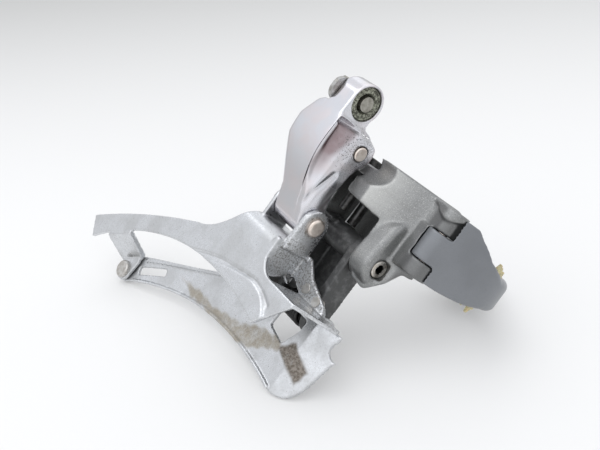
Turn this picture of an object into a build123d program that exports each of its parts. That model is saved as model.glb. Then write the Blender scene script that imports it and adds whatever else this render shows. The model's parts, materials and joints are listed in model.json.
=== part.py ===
from build123d import *
import math
import os

# Triple road front derailleur for a clamp-on seat tube.
# It is drawn as it sits on the bicycle: X forward along the link pins, Y inboard towards the
# seat tube, Z up the seat tube, origin at the centre of the clamp bore. At the end every piece
# is turned together into the attitude in which the derailleur lies on a table.

# ---- driving dimensions, mm and degrees ----

tube_radius = 15.9
band_wall = 3.6
band_outer = tube_radius + band_wall
clamp_turn = 20.0
hinge_radius = 20.4
hinge_barrel = 4.4
hinge_pin_radius = 1.5
knuckle_low = -9.5
knuckle_slot_low = -3.9
knuckle_slot_high = 5.7
knuckle_high = 13.4
flange_low = -6.5
flange_high = 5.0
flange_reach = 30.0
flange_depth = 7.0
clamp_bolt_at = 24.6
clamp_bolt_radius = 2.45

link_length = 26.0
outer_pivot = (-36.3, 10.7)
cage_outer_pivot = (outer_pivot[0], outer_pivot[1] - link_length)
inner_pivot = (-22.3, -14.0)
cage_inner_pivot = (inner_pivot[0], inner_pivot[1] - link_length)

pin_radius = 2.3
upper_eye_room = 7.2
running = 0.05
gap = 0.3
sheet = 1.3

wall_angle = 32.7
wall_face = 18.0
wall_depth = 4.5
wall_top = 14.0
roof_low = 6.2
roof_high = 10.0

link_front = -22.6
link_rear = -46.0
ear_depth = 2.8

cage_face = -44.3
inner_face = -29.4
chain_arc_radius = 106.0
chain_arc_centre = (-36.0, -151.0)
fold_top = -22.0
fold_radius = 5.0
bridge_top = -34.8

rest_pitch = -23.2
rest_lean = 39.4
rest_turn = -48.7


# ---- drawing helpers ----

def along_x(sketch, x0, x1):
    # A sketch drawn in (y, z), given depth from x0 to x1.
    return extrude(Plane.YZ.offset(x0) * sketch, amount=x1 - x0, dir=(1, 0, 0))


def along_y(sketch, y0, y1):
    # A sketch drawn in (x, z), given depth from y0 to y1.
    face = Plane(origin=(0, y0, 0), x_dir=(1, 0, 0), z_dir=(0, -1, 0)) * sketch
    return extrude(face, amount=y1 - y0, dir=(0, 1, 0))


def along_z(sketch, z0, z1):
    # A sketch drawn in (x, y), given depth from z0 to z1.
    return extrude(Plane.XY.offset(z0) * sketch, amount=z1 - z0, dir=(0, 0, 1))


def outline(points, radius=0):
    # A polygon, with its corners rounded when a radius is given.
    shape = Polygon(*points, align=None)
    if radius:
        shape = fillet(shape.vertices(), radius)
    return shape


def disc(centre, radius):
    return Pos(*centre) * Circle(radius)


def strap(first, first_radius, second, second_radius):
    # Two round ends joined by straight tangents.
    ends = disc(first, first_radius) + disc(second, second_radius)
    return make_hull(ends.edges())


def rod(centre, x0, x1, radius):
    return along_x(disc(centre, radius), x0, x1)


def on_clamp(shape):
    # The clamp is drawn with its hinge at -Y and its parting plane at X = 0.
    return Rot(0, 0, clamp_turn) * shape


def centre_of(x0, x1, y0, y1, z0, z1):
    size = (x1 - x0, y1 - y0, z1 - z0)
    middle = ((x0 + x1) / 2, (y0 + y1) / 2, (z0 + z1) / 2)
    return Pos(*middle) * Box(*size)


# ---- clamp ----

hinge = (0, -hinge_radius)


def clamp_taper():
    # Side outline of the clamp in (y, z): tall at the hinge, low at the bolt flanges.
    points = [
        (-27, knuckle_low), (-27, knuckle_high), (-18.5, knuckle_high), (-12, 7.8),
        (-4, flange_high), (flange_reach, flange_high), (flange_reach, flange_low),
        (-4, flange_low), (-12, -8.2), (-18.5, knuckle_low),
    ]
    return along_x(outline(points), -40, 40)


def half_clamp(side):
    # Half of the ring with its bolt flange; side is +1 for the band, -1 for the bracket.
    ring = Circle(band_outer) - Circle(tube_radius)
    half = Pos(side * 20.4, 0) * Rectangle(40, 60)
    foot = Pos(side * (0.8 + flange_depth / 2), 23.2) * Rectangle(flange_depth, 2 * flange_reach - 46.4)
    foot = fillet(foot.vertices(), 1.6)
    plan = (ring & half) + (foot - Circle(tube_radius))
    return along_z(plan, knuckle_low, knuckle_high) & clamp_taper()


def flange_hole(radius):
    hole = Rot(0, 90, 0) * Cylinder(radius, 60)
    return Pos(0, clamp_bolt_at, (flange_low + flange_high) / 2) * hole


def clamp_band():
    body = half_clamp(1)
    fairing = make_hull((disc(hinge, hinge_barrel) + disc((8.5, -15.2), 2.4)).edges())
    body += along_z(fairing, knuckle_low, knuckle_high) & clamp_taper()
    knuckle_room = disc(hinge, hinge_barrel + gap)
    body -= along_z(knuckle_room, knuckle_slot_high, knuckle_high + 1)
    body -= along_z(knuckle_room, knuckle_low - 1, knuckle_slot_low)
    body -= along_z(Circle(tube_radius), -30, 30)
    body -= along_z(disc(hinge, hinge_pin_radius + running), -30, 30)
    body -= flange_hole(clamp_bolt_radius + 0.75)
    return on_clamp(body)


def clamp_hinge_pin():
    pin = along_z(disc(hinge, hinge_pin_radius), knuckle_low + 0.3, knuckle_high - 0.2)
    return on_clamp(pin)


def clamp_bolt():
    # Socket head at the rear of the bracket flange, thread end beyond the band flange.
    middle = (flange_low + flange_high) / 2
    seat = -(0.8 + flange_depth) - 1.2
    shank = Rot(0, 90, 0) * Cylinder(clamp_bolt_radius, 18.5 - seat - 8)
    shank = Pos((18.5 - 8 + seat) / 2, 0, 0) * shank
    head = Pos(seat - 2.5, 0, 0) * Rot(0, 90, 0) * Cylinder(4.2, 5)
    head = fillet(head.edges().filter_by(GeomType.CIRCLE), 0.5)
    socket = Pos(seat - 5, 0, 0) * Rot(0, 90, 0) * extrude(RegularPolygon(2.3, 6), 6, both=True)
    socket &= Pos(seat - 5 + 1.2, 0, 0) * Box(3.6, 20, 20)
    bolt = shank + head - socket
    return on_clamp(Pos(0, clamp_bolt_at, middle) * bolt)


def clamp_bolt_washer():
    middle = (flange_low + flange_high) / 2
    ring = Cylinder(4.6, 1.2) - Cylinder(clamp_bolt_radius + 0.1, 3)
    seat = -(0.8 + flange_depth) - 0.6
    return on_clamp(Pos(seat, clamp_bolt_at, middle) * Rot(0, 90, 0) * ring)


def tape_scrap(first, last, z0, z1):
    # A torn end of lining tape on the rim of the band, between two angles from the hinge.
    arc = Circle(17.6) - Circle(16.4)
    far = 40
    a = math.radians(first - 90)
    b = math.radians(last - 90)
    wedge = outline([
        (0, 0), (far * math.cos(a), far * math.sin(a)), (far * math.cos(b), far * math.sin(b)),
    ])
    return on_clamp(along_z(arc & wedge, z0, z1) - clamp_taper())


# ---- bracket ----

wall_normal = (math.sin(math.radians(wall_angle)), -math.cos(math.radians(wall_angle)))
wall_run = (-wall_normal[1], wall_normal[0])


def on_wall(sketch):
    # The front wall stands upright and runs outboard and back from the clamp.
    origin = (wall_normal[0] * wall_face, wall_normal[1] * wall_face, 0)
    plane = Plane(origin=origin, x_dir=(*wall_run, 0), z_dir=(*wall_normal, 0))
    return extrude(plane * sketch, amount=wall_depth, dir=(-wall_normal[0], -wall_normal[1], 0))


def front_wall():
    arm_end = -37.5
    points = [
        (arm_end, -0.4), (arm_end, wall_top), (2, wall_top), (2, -9.6), (-3, -10.9), (-7.4, -11.2),
        (-10.2, -16.8), (-14.5, -21.8), (-19.6, -20.6), (-22.4, -17.0), (-22.6, -11.5),
        (-23.9, -8.6), (-24.2, -3.2), (-26.4, -1.4),
    ]
    return on_wall(outline(points, 1.3))


def knuckles():
    neck = make_hull((disc(hinge, hinge_barrel) + disc((-7.5, -17.2), 3.0)).edges())
    return on_clamp(along_z(neck, knuckle_low, knuckle_high + 0.2))


def bracket_body():
    beyond = on_clamp(centre_of(-0.4, 40, -60, 60, -60, 60))
    body = front_wall() - beyond + on_clamp(half_clamp(-1)) + knuckles()
    roof = outline([
        (-42.7, -37), (-25.7, -38), (-4, -24.2), (0, -17.5), (-17.5, -7.5), (-31, -13), (-42.7, -31),
    ])
    body += along_z(roof, roof_low, roof_high)
    body += rod(outer_pivot, -42.9, -25.7, 4.9)
    lobe = along_x(strap(inner_pivot, 6.2, (-20.5, -4), 6.4), -9.6, -1.5)
    body += fillet(lobe.edges().group_by(Axis.X)[-1], 2.0)
    rear = outline([(-28.4, 8), (-28.4, -14), (-24.6, -19.6), (-18.4, -18), (-16.4, -12), (-15.6, 8)], 2)
    body += along_x(rear, -35.0, -30.6)
    body += centre_of(-35.0, -12.0, -13.6, -11.2, -13.0, roof_high)
    # Room for the link ear at the outer pivot, the inner link and the hinge tongue.
    body -= rod(outer_pivot, -25.7, 0, upper_eye_room)
    body -= centre_of(-25.7, 0, -60, -31.6, -20, 30)
    body -= centre_of(-60, -9.6, -60, -13.5, -40, -1.6) & centre_of(-30.6, -9.6, -60, -10, -40, -1.6)
    body -= rod(outer_pivot, -60, -42.9, 5.6)
    tongue = disc(hinge, hinge_barrel + gap) + Pos(5, -hinge_radius) * Rectangle(10, 14)
    body -= on_clamp(along_z(tongue, knuckle_slot_low - 0.2, knuckle_slot_high + 0.2))
    body -= along_z(Circle(tube_radius), -60, 60)
    body -= on_clamp(along_z(disc(hinge, hinge_pin_radius), -30, 30))
    body -= on_clamp(flange_hole(clamp_bolt_radius + 0.05))
    body -= rod(outer_pivot, -60, 0, pin_radius + running)
    body -= rod(inner_pivot, -60, 0, 2.5)
    body -= rod(inner_pivot, -4.3, 0, 3.1)
    for centre, tip in limit_screws.values():
        body -= Pos(centre[0], centre[1], 0) * Cylinder(1.75, 60)
    return max(body.solids(), key=lambda piece: piece.volume)


limit_screws = {
    "low_limit_screw": ((-27.2, -17.3), -9.6),
    "high_limit_screw": ((-27.2, -24.6), -6.6),
}


def limit_screw(name):
    centre, tip = limit_screws[name]
    shank = along_z(Circle(1.7), tip, roof_high)
    head = along_z(Circle(2.9), roof_high, roof_high + 2.2)
    head = fillet(head.edges().group_by(Axis.Z)[-1], 0.6)
    slot = Pos(0, 0, roof_high + 2.2)
    cross = slot * (Box(4.2, 0.9, 2.2) + Box(0.9, 4.2, 2.2))
    return Pos(*centre) * (shank + head - cross)


# ---- links ----

anchor = (-41.0, 24.0)


def outer_link():
    # Seen along the pins: a curved shell outboard of the pivots, with the cable arm on top.
    a = outer_pivot
    c = cage_outer_pivot
    back = Spline(
        (anchor[0] - 6.2, anchor[1] + 1.0), (-48.3, 14), (-48.3, 4), (-44.8, -7.5), (c[0] - 4.9, c[1] - 1.6),
    )
    floor = ThreePointArc(back @ 1, (c[0] - 0.4, c[1] - 5.0), (c[0] + 4.6, c[1] + 1.6))
    side = Spline(floor @ 1, (-34.4, -4.5), (-34.0, 1.4), (a[0] + 5.7, a[1] - 2.8))
    eye = ThreePointArc(side @ 1, (a[0] + 4.9, a[1] + 4.6), (a[0] + 0.6, a[1] + 6.8))
    neck = Line(eye @ 1, (anchor[0] + 5.4, anchor[1] - 3.6))
    top = ThreePointArc(neck @ 1, (anchor[0] + 2.6, anchor[1] + 5.9), back @ 0)
    section = make_face([back, floor, side, eye, neck, top])
    body = along_x(section, link_rear, link_front)
    flank = outline([
        (link_front, -22), (link_front, 14.5), (-28, 17.5), (-28, 32), (-36.6, 32), (-37.4, 20.5),
        (-42.5, 17.5), (link_rear, 11), (-45.5, 4), (-41.5, -2.5), (-37.0, -9.8), (-37.0, -22),
    ], 1.2)
    body &= along_y(flank, -60, -20)
    # The bracket barrel turns in the pocket between the ears, and the back of the link is open.
    hollow = outline([
        (a[0], a[1] + 5.5), (-20, a[1] + 5.5), (-20, -9.4), (-40.5, -9.4), (-43.2, 0), (a[0] - 5.2, a[1]),
    ])
    pocket = disc(a, 5.5) + hollow
    body -= along_x(pocket, link_rear + ear_depth, link_front - ear_depth - 0.2)
    body -= rod(a, -60, 0, pin_radius)
    body -= rod(c, -60, 0, pin_radius + running)
    body -= rod(anchor, -60, 0, 2.6)
    body -= rod(anchor, -33, 0, 5.5)
    body -= centre_of(-60, -36.8, -60, 0, 18.9, 40)
    return max(body.solids(), key=lambda piece: piece.volume)


def cable_anchor_insert():
    ring = rod(anchor, -32.9, -28.6, 5.4) - rod(anchor, -40, -20, 2.55)
    groove = rod(anchor, -29.4, -28.2, 3.1)
    return ring - groove


def cable_anchor_washer():
    plate = along_x(Pos(anchor[0] - 1.8, anchor[1] - 0.6) * Rectangle(12, 8), -38.4, -36.8)
    plate = fillet(plate.edges().filter_by(Axis.X), 3.4)
    return plate - rod(anchor, -60, 0, 2.6)


def cable_anchor_bolt():
    shank = rod(anchor, -38.4, -28.2, 2.45)
    head = along_x(Pos(*anchor) * RegularPolygon(4.6, 6), -42.4, -38.4)
    crown = rod(anchor, -42.4, -38.4, 4.5)
    crown = chamfer(crown.edges().group_by(Axis.X)[0], 0.5)
    return shank + (head & crown)


def inner_link():
    b = inner_pivot
    d = cage_inner_pivot
    plan = strap(b, 5.0, d, 4.2)
    front = along_x(plan, -12.9, -9.9)
    rear = along_x(plan, -30.3, -27.4)
    barrel = rod(b, -30.3, -9.9, 4.4)
    web = centre_of(-30.3, -9.9, b[0] + 3.2, b[0] + 4.6, -34.0, b[1])
    stop = outline([
        (b[0] - 6.4, b[1] + 2.6), (b[0] - 6.4, b[1] + 4.1),
        (b[0] + 6.6, b[1] + 4.1), (b[0] + 6.6, b[1] + 2.6),
    ])
    stop = along_x(stop, -29.4, -25.0)
    link = front + rear + barrel + web + stop
    link -= rod(b, -60, 0, 2.5 + running)
    link -= rod(d, -60, 0, pin_radius + 0.3)
    return link


def inner_pivot_screw():
    shank = rod(inner_pivot, -34.8, -3.2, 2.5)
    head = rod(inner_pivot, -4.3, -1.7, 3.05)
    head = chamfer(head.edges().group_by(Axis.X)[-1], 0.3)
    socket = along_x(Pos(*inner_pivot) * RegularPolygon(1.55, 6, rotation=12), -4.6, 0)
    return shank + head - socket


def outer_link_pin():
    pin = rod(outer_pivot, link_rear + 0.2, link_front + 0.25, pin_radius)
    return chamfer(pin.edges().filter_by(GeomType.CIRCLE), 0.3)


def cage_outer_pin():
    shank = rod(cage_outer_pivot, -40.6, -19.9, pin_radius)
    head = rod(cage_outer_pivot, -20.4, -19.0, 3.0)
    head = fillet(head.edges().group_by(Axis.X)[-1], 0.8)
    groove = rod(cage_outer_pivot, -39.9, -39.2, 5) - rod(cage_outer_pivot, -39.9, -39.2, 1.7)
    return shank + head - groove


def cage_outer_pin_clip():
    # Open retaining ring in the groove behind the rear lug.
    ring = disc(cage_outer_pivot, 4.0) - disc(cage_outer_pivot, 1.75)
    mouth = Pos(cage_outer_pivot[0] + 3, cage_outer_pivot[1]) * Rectangle(6, 2.6)
    return along_x(ring - mouth, -39.9, -39.2)


def cage_inner_pin():
    pin = rod(cage_inner_pivot, -34.6, -4.8, pin_radius)
    return chamfer(pin.edges().filter_by(GeomType.CIRCLE), 0.3)


def spring_bush():
    d = cage_inner_pivot
    return rod(d, -27.0, -13.3, 3.0) - rod(d, -28, -12, pin_radius + 0.1)


def return_spring():
    # Torsion spring round the lower inner pivot, with a short leg at each end.
    wire = 0.55
    radius = 3.75
    pitch = 1.25
    turns = 8
    d = cage_inner_pivot
    coil = Helix(pitch, pitch * turns, radius, center=(-24.6, d[0], d[1]), direction=(1, 0, 0))
    start = coil @ 0
    finish = coil @ 1
    lead_in = Line(start - (coil % 0) * 5.0, start)
    lead_out = Line(finish, finish + (coil % 1) * 5.0)
    path = Wire([lead_in, coil, lead_out])
    section = Plane(origin=path @ 0, z_dir=path % 0) * Circle(wire)
    return sweep(section, path=path, is_frenet=True)


# ---- cage ----

def chain_arc(x, drop=0):
    # Height of the arc that clears the chainring, at a station along the cage.
    radius = chain_arc_radius - drop
    reach = x - chain_arc_centre[0]
    return chain_arc_centre[1] + math.sqrt(radius ** 2 - reach ** 2)


def outer_plate_outline():
    tail = -107.0
    toe = -11.0
    bottom = ThreePointArc((tail, chain_arc(tail)), (-58, chain_arc(-58)), (toe, chain_arc(toe)))
    chin = ThreePointArc(bottom @ 1, (-7.2, -43.2), (-1.4, -36.2))
    front = Line(chin @ 1, (-1.4, bridge_top))
    shelf = Line(front @ 1, (-15, bridge_top))
    scoop = Spline(shelf @ 1, (-21.4, -31.6), (-22.9, -27.5), (-22.4, -24.4))
    rise = Line(scoop @ 1, (-22.4, fold_top + 1))
    crown = Line(rise @ 1, (-39.5, fold_top + 1))
    shoulder = Spline(crown @ 1, (-43.6, -26.6), (-50.5, -34.2), (-59.0, -38.6))
    spine = ThreePointArc(shoulder @ 1, (-86.0, -50.6), (-113.0, -66.0))
    heel = Line(spine @ 1, bottom @ 0)
    return make_face([bottom, chin, front, shelf, scoop, rise, crown, shoulder, spine, heel])


def folded_section():
    # The plate stands upright and turns inboard at its top with a round fold.
    outer = Pos(cage_face + 30, fold_top - 50) * RectangleRounded(60, 100, fold_radius)
    inner = RectangleRounded(60, 100, fold_radius - sheet)
    inner = Pos(cage_face + sheet + 30, fold_top - sheet - 50) * inner
    keep = Pos(cage_face + 7, fold_top - 30) * Rectangle(14, 60)
    return (outer - inner) & keep


def raised_panel():
    # A shallow pressed field that stiffens the rubbing zone of the outer plate.
    rise = ThreePointArc((-63, -52.5), (-42, -43.6), (-24, -38.9))
    drop = ThreePointArc(rise @ 1, (-14.6, -39.2), (-8.0, -44.4))
    close = Polyline(drop @ 1, (-8.0, -60), (-63, -60), rise @ 0)
    field = make_face([rise, drop, close])
    plane = Plane(origin=(0, cage_face, 0), x_dir=(1, 0, 0), z_dir=(0, -1, 0))
    return extrude(plane * field, amount=0.7, taper=40)


def cage_outer_plate():
    side = outer_plate_outline()
    plate = along_x(folded_section(), -120, 0) & along_y(side, -50, -25)
    plate += raised_panel() & along_y(side, -50, -40)
    # Front lug for the outer link, standing on the web behind the scoop.
    c = cage_outer_pivot
    front_lug = along_x(strap(c, 5.2, (c[0] - 0.2, -24.5), 5.6), -22.4, -20.4)
    plate += front_lug & centre_of(-23, -20, -60, 0, -25.6, 0)
    web = outline([
        (cage_face, -36), (cage_face, -23.5), (-30.6, -23.5), (-29.4, -26), (-29.4, -36), (-33, -33.6),
        (-37, -35.4),
    ], 0.5)
    plate += along_x(web, -24.0, -22.2)
    # Rear lug, rising from the folded top.
    rear_lug = along_x(strap(c, 5.2, (c[0], -22.2), 5.2), -38.7, -37.3)
    plate += rear_lug & centre_of(-40, -36, -60, 0, fold_top - sheet, 0)
    # Bridge over the chain to the inner plate, and the arm that stiffens it.
    bridge = outline([
        (-15.5, cage_face), (-1.4, cage_face), (5.6, -29.4), (4.6, -27.4), (-1.2, -28.1),
        (-1.2, inner_face), (-15.5, inner_face),
    ])
    plate += along_z(bridge, bridge_top - sheet, bridge_top)
    arm = outline([
        (-23.5, -24.0), (-19.4, -24.0), (-14, -28.4), (-4, -32.2), (-1, -36.1), (-12.4, -36.1),
        (-20.6, -32.4), (-23.5, -32.4),
    ], 0.6)
    plate += along_y(arm, inner_face - sheet, inner_face)
    # Tail bridge: a strap along the lower edge, and a foot that is riveted to the inner plate.
    plate += tail_bridge()
    plate -= rod(c, -60, 0, pin_radius + 0.02)
    for x, z in front_rivets:
        plate -= along_y(disc((x, z), 1.2), -40, -20)
    plate -= along_y(disc(tail_rivet, 1.6), -40, -20)
    return max(plate.solids(), key=lambda piece: piece.volume)


tail_rivet = (-91.6, -74.4)
tail_foot_face = -34.6
front_rivets = ((-13.8, -32.0), (-7.4, -32.9))


def tail_bridge():
    # A tongue turned inboard and down from the lower edge, ending in a foot on the inner plate.
    face = tail_foot_face + sheet
    fall = outline([
        (cage_face, 0.6), (face, -5.6), (face, -5.6 - 1.6 * sheet), (cage_face, 0.6 - 1.6 * sheet),
    ])
    first = (-97.8, chain_arc(-97.8))
    last = (-87.8, chain_arc(-87.8))
    along = (last[0] - first[0], 0, last[1] - first[1])
    plane = Plane(origin=(first[0] - along[0], 0, first[1] - along[2]), x_dir=(0, 1, 0), z_dir=along)
    deck = extrude(plane * fall, amount=3 * math.hypot(along[0], along[2]), dir=along)
    taper = outline([(-99, -60), (-98.4, -68), (-95.4, -78), (-88, -72), (-86.8, -66), (-88.4, -56)])
    deck &= along_y(taper, -60, -20)
    foot = (disc(tail_rivet, 3.9) + disc((-93.4, -70.8), 2.2) + disc((-88.8, -68.6), 2.0)).edges()
    return deck + along_y(make_hull(foot), tail_foot_face, face)


def inner_band(thickness):
    # The plate thickness laid inboard of that line.
    base = [(-97.5, -33.3), (-82, -32.6), (-62, inner_face), (-3, inner_face), (10.4, -25.0)]
    other = [(x, y + thickness) for x, y in reversed(base)]
    return outline(base + other)


def inner_plate_outline():
    heel_x = -95.2
    low = ThreePointArc((-90.5, -78.4), (-42, -61.6), (-3, -63.2))
    toe = Spline(low @ 1, (3.0, -60.4), (5.8, -54.0), (8.2, -43.2))
    nose = ThreePointArc(toe @ 1, (4.6, -40.8), (5.2, -38.4))
    brow = Line(nose @ 1, (5.4, -36.1))
    top = Polyline(
        brow @ 1, (-1.4, -36.1), (-4.4, -33.0), (-13, -29.6), (-17.4, -31.8), (-13, -36.1), (-24.0, -37.4),
    )
    spine = ThreePointArc(top @ 1, (-62, -53.8), (-91.5, -67.4))
    heel = ThreePointArc(spine @ 1, (heel_x, -73.6), low @ 0)
    return make_face([low, toe, nose, brow, top, spine, heel])


def edge_lips():
    # The rolled edges seen from the side: one along the belly, one along the spine.
    belly = ThreePointArc((-86, -75.9), (-42, -61.6), (-4, -63.1))
    belly_top = Pos(0.2, 1.1) * belly
    spine = ThreePointArc((-27, -38.7), (-62, -53.8), (-85, -65.2))
    spine_low = Pos(0.2, -1.1) * spine
    first = make_face([belly, Line(belly @ 1, belly_top @ 1), belly_top, Line(belly_top @ 0, belly @ 0)])
    second = make_face([spine, Line(spine @ 1, spine_low @ 1), spine_low, Line(spine_low @ 0, spine @ 0)])
    return first + second


def cage_inner_plate():
    side = inner_plate_outline()
    body = along_z(inner_band(sheet), -90, -20)
    plate = body & along_y(side, -40, -20)
    # Rolled lips along the long edges stand outboard of the plate.
    plate += along_z(Pos(0, -0.8) * inner_band(1.0), -90, -20) & along_y(edge_lips(), -45, -20)
    slot = outline([(-86.6, -69.6), (-74.6, -62.6), (-73.2, -65.0), (-85.2, -72.2)], 0.9)
    window = outline([(-18.4, -39.2), (-6.8, -39.2), (-7.0, -43.0), (-10.4, -50.2), (-18.8, -48.4)], 1.0)
    plate -= along_y(slot, -50, 0)
    plate -= along_y(window, -50, 0)
    d = cage_inner_pivot
    lug = strap(d, 4.4, (inner_face + 2, d[1]), 4.4)
    lug &= Pos(inner_face + 30, d[1]) * Rectangle(60, 20)
    for x0 in (-6.6, -33.4):
        plate += along_x(lug, x0, x0 + 1.4)
    plate -= rod(d, -60, 0, pin_radius)
    for x, z in front_rivets:
        plate -= along_y(disc((x, z), 1.2), -40, -20)
    plate -= along_y(disc(tail_rivet, 1.6), -40, -20)
    return max(plate.solids(), key=lambda piece: piece.volume)


def rivet(centre, near, far, shank, head, crown):
    # A round-headed rivet through stacked plates, its crown outboard and its tail closed over.
    body = along_y(disc(centre, shank), near, far)
    cap = along_y(disc(centre, head), near - crown, near)
    cap = fillet(cap.edges().group_by(Axis.Y)[0], crown * 0.6)
    closed = along_y(disc(centre, head * 0.8), far, far + crown * 0.8)
    return body + cap + closed


def cage_tail_rivet():
    return rivet(tail_rivet, tail_foot_face, -31.6, 1.6, 3.3, 1.3)


def cage_front_rivets():
    near = inner_face - sheet
    far = inner_face + sheet
    first, second = (rivet(place, near, far, 1.2, 1.7, 0.3) for place in front_rivets)
    return first + second


# ---- assembly ----

pieces = {
    "bracket_body": bracket_body(),
    "clamp_band": clamp_band(),
    "clamp_hinge_pin": clamp_hinge_pin(),
    "clamp_bolt": clamp_bolt(),
    "clamp_bolt_washer": clamp_bolt_washer(),
    "tape_scrap_upper": tape_scrap(60, 84, 0.0, 8.8),
    "tape_scrap_lower": tape_scrap(52, 76, -9.8, 0.0),
    "low_limit_screw": limit_screw("low_limit_screw"),
    "high_limit_screw": limit_screw("high_limit_screw"),
    "outer_link": outer_link(),
    "outer_link_pin": outer_link_pin(),
    "cable_anchor_insert": cable_anchor_insert(),
    "cable_anchor_washer": cable_anchor_washer(),
    "cable_anchor_bolt": cable_anchor_bolt(),
    "inner_link": inner_link(),
    "inner_pivot_screw": inner_pivot_screw(),
    "return_spring": return_spring(),
    "spring_bush": spring_bush(),
    "cage_outer_plate": cage_outer_plate(),
    "cage_inner_plate": cage_inner_plate(),
    "cage_outer_pin": cage_outer_pin(),
    "cage_outer_pin_clip": cage_outer_pin_clip(),
    "cage_inner_pin": cage_inner_pin(),
    "cage_tail_rivet": cage_tail_rivet(),
    "cage_front_rivets": cage_front_rivets(),
}

os.makedirs("parts", exist_ok=True)
attitude = Rot(rest_pitch, rest_lean, rest_turn)
for name, piece in pieces.items():
    export_step(attitude * piece, f"parts/{name}.step")
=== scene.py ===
import json

import bmesh
import bpy
import numpy as np
from mathutils import Matrix, Vector

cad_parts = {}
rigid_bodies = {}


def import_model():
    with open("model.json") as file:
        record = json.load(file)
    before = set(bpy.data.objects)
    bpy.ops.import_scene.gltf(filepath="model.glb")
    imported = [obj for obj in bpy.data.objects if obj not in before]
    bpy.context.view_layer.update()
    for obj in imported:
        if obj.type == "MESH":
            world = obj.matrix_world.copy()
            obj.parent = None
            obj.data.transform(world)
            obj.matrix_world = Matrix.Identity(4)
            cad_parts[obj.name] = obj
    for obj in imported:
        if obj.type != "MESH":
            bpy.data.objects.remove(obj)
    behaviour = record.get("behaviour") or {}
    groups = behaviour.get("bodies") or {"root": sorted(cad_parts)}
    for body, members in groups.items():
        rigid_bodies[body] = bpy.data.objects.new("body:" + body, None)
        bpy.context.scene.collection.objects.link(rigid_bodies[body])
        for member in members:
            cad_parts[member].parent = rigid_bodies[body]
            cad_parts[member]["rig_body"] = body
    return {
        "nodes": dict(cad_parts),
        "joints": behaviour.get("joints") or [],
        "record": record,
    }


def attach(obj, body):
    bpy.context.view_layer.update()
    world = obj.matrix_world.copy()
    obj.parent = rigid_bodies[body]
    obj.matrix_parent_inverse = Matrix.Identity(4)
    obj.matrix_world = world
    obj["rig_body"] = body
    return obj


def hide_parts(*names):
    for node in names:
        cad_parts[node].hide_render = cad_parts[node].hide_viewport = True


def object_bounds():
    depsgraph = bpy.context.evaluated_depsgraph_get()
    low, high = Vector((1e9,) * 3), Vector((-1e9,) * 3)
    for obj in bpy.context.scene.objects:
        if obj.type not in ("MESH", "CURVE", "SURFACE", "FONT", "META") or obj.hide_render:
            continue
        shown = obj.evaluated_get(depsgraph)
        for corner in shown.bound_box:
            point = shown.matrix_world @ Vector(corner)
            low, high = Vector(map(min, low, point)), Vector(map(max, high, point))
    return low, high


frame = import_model()
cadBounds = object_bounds()
print("frame loaded:", len(frame["nodes"]), "nodes")

# the bike's own axes: x forward along the link pins, y towards the seat tube, z up the tube
jointOf = {j["name"]: j for j in frame["joints"]}
mountOf = {m["name"]: m for m in frame["record"]["mounts"]}
forward = -np.array(jointOf["outer_link_swing"]["axis"], float)
tubeUp = np.array(mountOf["seat_tube_clamp"]["axis"], float)
bikeAxes = np.array([forward, np.cross(tubeUp, forward), tubeUp])
mm = 0.001


def toBikeAxis(direction):
    return bikeAxes @ np.array(direction, float)


# the clamp's own axes are turned about the tube: bolt across the parting plane, hinge to flanges
boltRun = -toBikeAxis(jointOf["clamp_bolt_draw"]["axis"])
clampAxes = np.array([boltRun, np.cross((0, 0, 1), boltRun), (0, 0, 1)])


def toRow(points):
    # bike millimetres to the frame's metres: sum of each coordinate times its axis
    return np.asarray(points, float) @ bikeAxes * mm


def toBike(points):
    # the frame's metres back to bike millimetres: dot product with each axis
    return np.asarray(points, float) @ bikeAxes.T / mm


def ease(value, low, high):
    # 0 below low, 1 above high, and the cubic 3t^2 - 2t^3 between
    t = np.clip((value - low) / (high - low), 0, 1)
    return t * t * (3 - 2 * t)


def lineDistance(points, start, end):
    # distance of flat points from a straight stretch, and the share of the way along it
    run = np.asarray(end, float) - np.asarray(start, float)
    share = np.clip((points - start) @ run / (run @ run), 0, 1)
    return np.linalg.norm(points - (start + share[:, None] * run), axis=1), share


def pathDistance(points, path):
    # least distance of flat points from a chain of straight stretches
    stretches = [lineDistance(points, np.array(a), np.array(b))[0] for a, b in zip(path, path[1:])]
    return np.min(stretches, axis=0)


def newPiece(name, points, faces, body, material, replaced):
    # one mesh from a point array in metres and a face array, smooth, riding on its body
    mesh = bpy.data.meshes.new(name)
    mesh.from_pydata(np.asarray(points).tolist(), [], np.asarray(faces).tolist())
    mesh.polygons.foreach_set("use_smooth", np.ones(len(mesh.polygons), bool))
    mesh.materials.append(material)
    piece = bpy.data.objects.new(name, mesh)
    bpy.context.scene.collection.objects.link(piece)
    finishPiece(piece, body, replaced)


def finishPiece(piece, body, replaced):
    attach(piece, body)
    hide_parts(replaced)


def ringFaces(rows, columns):
    # quads between neighbouring points of a rows by columns grid that closes both ways
    r, c = np.meshgrid(np.arange(rows), np.arange(columns), indexing="ij")
    below, right = (r + 1) % rows, (c + 1) % columns
    quads = [r * columns + c, r * columns + right, below * columns + right, below * columns + c]
    return np.stack(quads, -1).reshape(-1, 4)


def neighbourMean(points, edges):
    # mean of the points joined to each point by an edge
    total = np.zeros_like(points)
    count = np.bincount(edges.ravel(), minlength=len(points))[:, None]
    for axis in range(3):
        total[:, axis] += np.bincount(edges[:, 0], points[edges[:, 1], axis], len(points))
        total[:, axis] += np.bincount(edges[:, 1], points[edges[:, 0], axis], len(points))
    return total / np.maximum(count, 1)


def readPoints(mesh):
    points = np.empty(len(mesh.vertices) * 3)
    mesh.vertices.foreach_get("co", points)
    return points.reshape(-1, 3)


def readNormals(mesh):
    normals = np.empty(len(mesh.vertices) * 3)
    mesh.vertices.foreach_get("normal", normals)
    return normals.reshape(-1, 3)


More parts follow.
